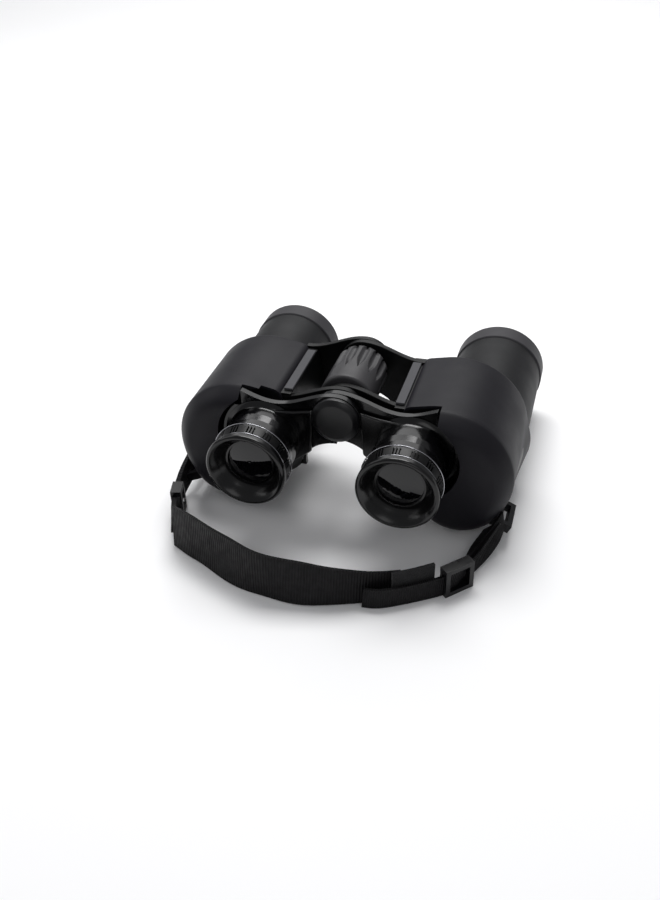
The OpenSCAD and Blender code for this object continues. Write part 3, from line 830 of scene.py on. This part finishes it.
def ribbon(name, lower, upper, thickness, material, steps=10, rows=6, sag=None):
    """Webbing between two edge paths, with a UV map in millimetres along and across it."""
    a, b = smooth_path(lower, steps), smooth_path(upper, steps)
    bm = bmesh.new()
    uv = bm.loops.layers.uv.new("UVMap")
    grids, along = [], [0]
    for i in range(1, len(a)):
        along.append(along[-1] + ((a[i] + b[i]) / 2 - (a[i - 1] + b[i - 1]) / 2).length)
    centre = [(p + q) / 2 for p, q in zip(a, b)]
    for face_side in (1, -1):
        grid = []
        for i in range(len(a)):
            forward = centre[min(i + 1, len(a) - 1)] - centre[max(i - 1, 0)]
            normal = forward.cross(b[i] - a[i]).normalized()
            row = []
            for k in range(rows + 1):
                t = k / rows
                bulge = sag(along[i] / along[-1], t) if sag else 0
                p = a[i].lerp(b[i], t) + normal * (face_side * thickness / 2 + bulge)
                row.append(bm.verts.new(p))
            grid.append(row)
        grids.append(grid)
    width = (b[0] - a[0]).length

    def face(verts, coords):
        f = bm.faces.new(verts)
        for loop, c in zip(f.loops, coords):
            loop[uv].uv = c

    last = len(a) - 1
    for grid in grids:
        for i in range(last):
            for k in range(rows):
                face((grid[i][k], grid[i + 1][k], grid[i + 1][k + 1], grid[i][k + 1]),
                     ((along[i], width * k / rows), (along[i + 1], width * k / rows),
                      (along[i + 1], width * (k + 1) / rows), (along[i], width * (k + 1) / rows)))
    front, rear = grids
    for i in range(last):
        for k in (0, rows):
            face((front[i][k], front[i + 1][k], rear[i + 1][k], rear[i][k]),
                 ((along[i], 0), (along[i + 1], 0), (along[i + 1], 1), (along[i], 1)))
    for k in range(rows):
        for i in (0, last):
            face((front[i][k], front[i][k + 1], rear[i][k + 1], rear[i][k]),
                 ((along[i], 0), (along[i], 1), (along[i] + 1, 1), (along[i] + 1, 0)))
    obj = to_object(bm, name, material, sharp=50)
    obj["length_mm"] = along[-1]
    obj["width_mm"] = width
    return obj


def bend_with_barrels(obj, node):
    """Hides the CAD node the fabric stands for and bakes the fabric's placement into its mesh."""
    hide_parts(node)
    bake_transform(obj)


def at_height(path, z):
    return [(x, y, z) for x, y in path]


def wide_band():
    z = TABLE_Z + 0.4
    lower_xy = [(-71, -96.5), (-62, -101), (-54, -104.5), (-40, -112), (-26, -117.5), (-12, -119),
                (2, -118), (14, -115), (27, -110), (40, -103)]
    heights = [22, 24, 24.5, 24.5, 24, 22.5, 21, 19, 16, 14]
    leans = [2.5, 1.5, 0.8, 1.6, 2.6, 3, 2.6, 1.8, 1.4, 1.2]
    upper = [(x + 0.8, y + lean, z + h) for (x, y), h, lean in zip(lower_xy, heights, leans)]

    def ripple(t, v):
        wander = math.sin(11 * t + 2.5 * v) + 0.6 * math.sin(23 * t - 3 * v)
        return 0.7 * wander * math.sin(math.pi * t)

    band = ribbon("wide neck band", at_height(lower_xy, z), upper, 1.5, MATERIALS["webbing"],
                  steps=18, rows=10, sag=ripple)
    place(band, "left_barrel", "webbing", "strap_band")


def left_tail():
    """Webbing from the lug down to the slide, and on to the band."""
    z = TABLE_Z
    lower = [(-79.5, -46, z + 9), (-81, -55, z + 5.5), (-81.5, -64, z + 3), (-79.5, -74, z + 2.3),
             (-76, -86, z + 4), (-71.5, -95.5, z + 7)]
    upper = [(-83, -45, z + 18.5), (-83.5, -55, z + 15), (-82.5, -64, z + 12.7), (-79.8, -74, z + 12.3),
             (-75, -85.5, z + 14), (-70, -94.5, z + 17)]
    tail = ribbon("left strap tail webbing", lower, upper, 2.4, MATERIALS["narrow_webbing"], steps=14)
    place(tail, "left_barrel", "webbing", "left_strap_tail")


def right_webbing():
    """Webbing along the band, through the buckle and up to the lug, where it turns to face up."""
    z = TABLE_Z + 0.3
    lower = [(26, -113.5, z), (34, -112, z), (47, -105, z), (60, -96, z), (64.5, -88, z + 0.3),
             (65, -79, z + 2), (66.5, -70, z + 5), (71, -60, z + 9)]
    upper = [(26.6, -112.5, z + 10), (34.5, -111.4, z + 10), (47.5, -104.3, z + 10), (61, -94.5, z + 10),
             (68, -86, z + 10), (71.8, -76.5, z + 9.5), (75, -67, z + 11), (79, -56.5, z + 14)]
    back_lower = [(67, -85, z + 0.5), (71, -77, z + 0.6), (75, -70, z + 2.5), (78.3, -63, z + 6),
                  (79.5, -56.5, z + 10)]
    back_upper = [(66, -83, z + 9.5), (68.5, -75, z + 9), (71, -67, z + 10), (75, -60, z + 13.5),
                  (78, -55.5, z + 18)]
    layers = [
        ribbon("front layer", lower, upper, 1.4, MATERIALS["narrow_webbing"], steps=14),
        ribbon("back layer", back_lower, back_upper, 1.4, MATERIALS["narrow_webbing"], steps=14),
    ]
    length = sum(layer["length_mm"] for layer in layers)
    width = layers[0]["width_mm"]
    strap = join("right strap webbing strip", layers)
    strap["length_mm"], strap["width_mm"] = length, width
    bend_with_barrels(strap, "right_strap_webbing")


def pile_patch():
    z = TABLE_Z + 8.5
    lower = [(38, -107.3, z), (46, -102.6, z), (54.5, -96.6, z)]
    upper = [(x, y + 0.8, h + 8) for x, y, h in lower]
    patch = ribbon("loop pile patch", lower, upper, 1.6, MATERIALS["patch"])
    bend_with_barrels(patch, "strap_patch")


def moulded_copy(node, name, body, width):
    """The CAD part's own form with its edges softly rounded."""
    bm = bmesh.new()
    bm.from_mesh(frame["nodes"][node].data)
    bmesh.ops.remove_doubles(bm, verts=bm.verts, dist=1e-6)
    flat = math.radians(2)
    bmesh.ops.dissolve_limit(bm, angle_limit=flat, verts=bm.verts, edges=bm.edges)
    mark_sharp(bm, 32)
    part = new_object(bm, name, MATERIALS["buckle"])
    round_edges(part, width, 3, 40)
    place(part, body, "buckle", node)


def moulded_fittings():
    moulded_copy("left_strap_slide", "left strap slide frame", "left_barrel", 0.5)
    moulded_copy("right_strap_buckle", "right strap buckle frame", "right_barrel", 0.6)
    moulded_copy("left_strap_lug", "left lug loop", "left_barrel", 0.6)
    moulded_copy("right_strap_lug", "right lug loop", "right_barrel", 0.6)


# --- Floor, light and camera ---------------------------------------------------------

def floor():
    bm = bmesh.new()
    size = 4000
    for x, y in ((-size, -size), (size, -size), (size, size), (-size, size)):
        bm.verts.new((x, y, TABLE_Z - 0.05))
    bm.faces.new(bm.verts)
    obj = to_object(bm, "floor", paper_floor())


def softbox(name, at, size, power, target=(0, -0.02, -0.02)):
    data = bpy.data.lights.new(name, "AREA")
    data.shape = "RECTANGLE"
    data.size, data.size_y = size
    data.energy = power
    obj = bpy.data.objects.new(name, data)
    obj.location = at
    aim = Vector(target) - Vector(at)
    obj.rotation_euler = aim.to_track_quat("-Z", "Y").to_euler()
    bpy.context.scene.collection.objects.link(obj)


def lights():
    softbox("overhead box", (-0.1, 0.45, 1.0), (0.8, 0.55), 12)
    softbox("front fill", (0.6, -1.5, 1.3), (1.0, 1.0), 3.4)
    softbox("far floor box", (-0.5, 1.7, 1.1), (2.2, 1.4), 16, target=(-0.5, 1.7, 0))
    softbox("left fill", (-1.4, -0.1, 0.9), (0.6, 0.9), 3)
    world = bpy.data.worlds.new("studio")
    world.use_nodes = True
    background = world.node_tree.nodes["Background"]
    background.inputs["Color"].default_value = (0.93, 0.94, 0.97, 1)
    background.inputs["Strength"].default_value = 0.32
    bpy.context.scene.world = world
    bpy.context.scene.view_settings.view_transform = "Standard"


def camera():
    """The viewpoint: in front, above and a little to the right, tilted slightly."""
    at = (0.1053, -0.3951, 0.23484)
    azimuth, elevation, roll = (math.radians(a) for a in (17.907, 35.557, -2.301))
    back = Vector((math.sin(azimuth) * math.cos(elevation), -math.cos(azimuth) * math.cos(elevation),
                   math.sin(elevation)))
    right = Vector((0, 0, 1)).cross(back).normalized()
    up = back.cross(right)
    tilted_right = right * math.cos(roll) + up * math.sin(roll)
    tilted_up = up * math.cos(roll) - right * math.sin(roll)
    data = bpy.data.cameras.new("view")
    data.sensor_fit = "VERTICAL"
    data.sensor_height = 24
    data.lens = 24.8
    data.clip_start = 0.01
    obj = bpy.data.objects.new("view", data)
    obj.matrix_world = Matrix((
        (tilted_right[0], tilted_up[0], back[0], at[0]),
        (tilted_right[1], tilted_up[1], back[1], at[1]),
        (tilted_right[2], tilted_up[2], back[2], at[2]),
        (0, 0, 0, 1)))
    bpy.context.scene.collection.objects.link(obj)
    bpy.context.scene.camera = obj


# --- Everything together ---------------------------------------------------------------

def build():
    camera()
    dress_frame()
    for name, side in SIDES.items():
        armour(name, side)
        hinge_frame(name, side)
        grip_strip(name, side)
        bridge_arm(name, side)
        objective_ring(name, side)
        trim_rings(name, side)
    barred_ring("left", "left_barred_ring", "left_ocular", LEFT)
    barred_ring("right", "right_dioptre_ring", "dioptre_ring", RIGHT)
    eyecup("left", "left_ocular", LEFT)
    eyecup("right", "right_eyecup", RIGHT)
    focus_knob()
    bridge_cap()
    floor()
    wide_band()
    left_tail()
    right_webbing()
    pile_patch()
    moulded_fittings()
    lights()


build()
